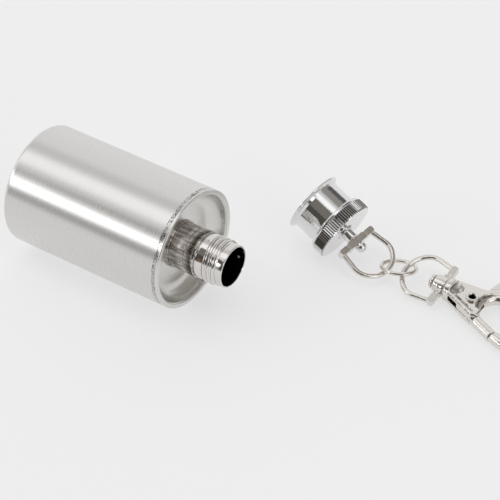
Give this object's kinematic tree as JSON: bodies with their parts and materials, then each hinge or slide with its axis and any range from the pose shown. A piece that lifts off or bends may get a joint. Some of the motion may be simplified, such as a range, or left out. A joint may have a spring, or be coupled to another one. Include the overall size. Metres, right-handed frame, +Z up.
{
  "type": "hip flask keychain",
  "caption": "Small round steel flask on its side, with its knurled screw cap beside it on a chain of rings and a swivel snap hook.",
  "frame": {"origin": "centre of the flask's mouth, on the axis of the neck's bore", "axes": "+X points out of the mouth along the flask's axis, +Z is up, and the table that everything lies on is at z = -16.5 mm"},
  "size_m": [0.1361, 0.0639, 0.033],
  "materials": {
    "flask_steel": "fine brush lines round the body, satin",
    "pan_steel": "half-bright pressed steel",
    "neck_polish": "mirror polished",
    "cap_chrome": "bright chrome plating",
    "liner_plastic": "smooth",
    "seal_rubber": "matt",
    "ring_nickel": "nickel plating, slightly warm",
    "hook_nickel": "nickel plating over a casting, slightly warm",
    "rivet_steel": "plated, half-bright",
    "spring_steel": "drawn wire"
  },
  "bodies": {
    "flask": {"body_tube": "flask_steel", "base_disc": "flask_steel", "top_pan": "pan_steel", "neck_collar": "neck_polish", "neck_tube": "neck_polish"},
    "snap_hook": {"hook_body": "hook_nickel", "hook_swivel_stud": "ring_nickel", "trigger_rivet": "rivet_steel", "trigger_spring": "spring_steel"},
    "trigger": {"hook_trigger": "hook_nickel"},
    "hook_ring": {"hook_d_ring": "ring_nickel"},
    "link": {"jump_ring": "ring_nickel"},
    "cap_ring": {"cap_d_ring": "ring_nickel"},
    "cap": {"cap_shell": "cap_chrome", "cap_knurled_top": "cap_chrome", "cap_thread_liner": "liner_plastic", "cap_gasket": "seal_rubber", "cap_swivel_stud": "cap_chrome"}
  },
  "joints": [
    {"name": "keychain_slide", "type": "slide", "parent": "flask", "child": "snap_hook", "axis": [1, 0, 0], "range_m": [-0.03, 0.05]},
    {"name": "trigger_pivot", "type": "hinge", "parent": "snap_hook", "child": "trigger", "pos_m": [0.05039, 0.03594, -0.01365], "axis": [0.0535, -0.0026, 0.9986], "range_deg": [0, 26], "stiffness_Nm_per_rad": 0.02, "springref_deg": -17.19, "deforming": ["trigger_spring"]},
    {"name": "hook_swivel", "type": "hinge", "parent": "snap_hook", "child": "hook_ring", "pos_m": [0.04095, 0.0372, -0.01314], "axis": [0.9974, -0.0488, -0.0536], "continuous": true},
    {"name": "link_hinge", "type": "hinge", "parent": "hook_ring", "child": "link", "pos_m": [0.02968, 0.03775, -0.01254], "axis": [0.0605, 0.9676, 0.245], "range_deg": [-90, 10]},
    {"name": "cap_ring_hinge", "type": "hinge", "parent": "link", "child": "cap_ring", "pos_m": [0.02504, 0.03523, -0.01427], "axis": [0.1442, 0.9844, 0.1013], "range_deg": [-3, 90]},
    {"name": "cap_swivel", "type": "hinge", "parent": "cap_ring", "child": "cap", "pos_m": [0.01099, 0.03668, -0.00837], "axis": [0.918, -0.0949, -0.385], "continuous": true}
  ]
}
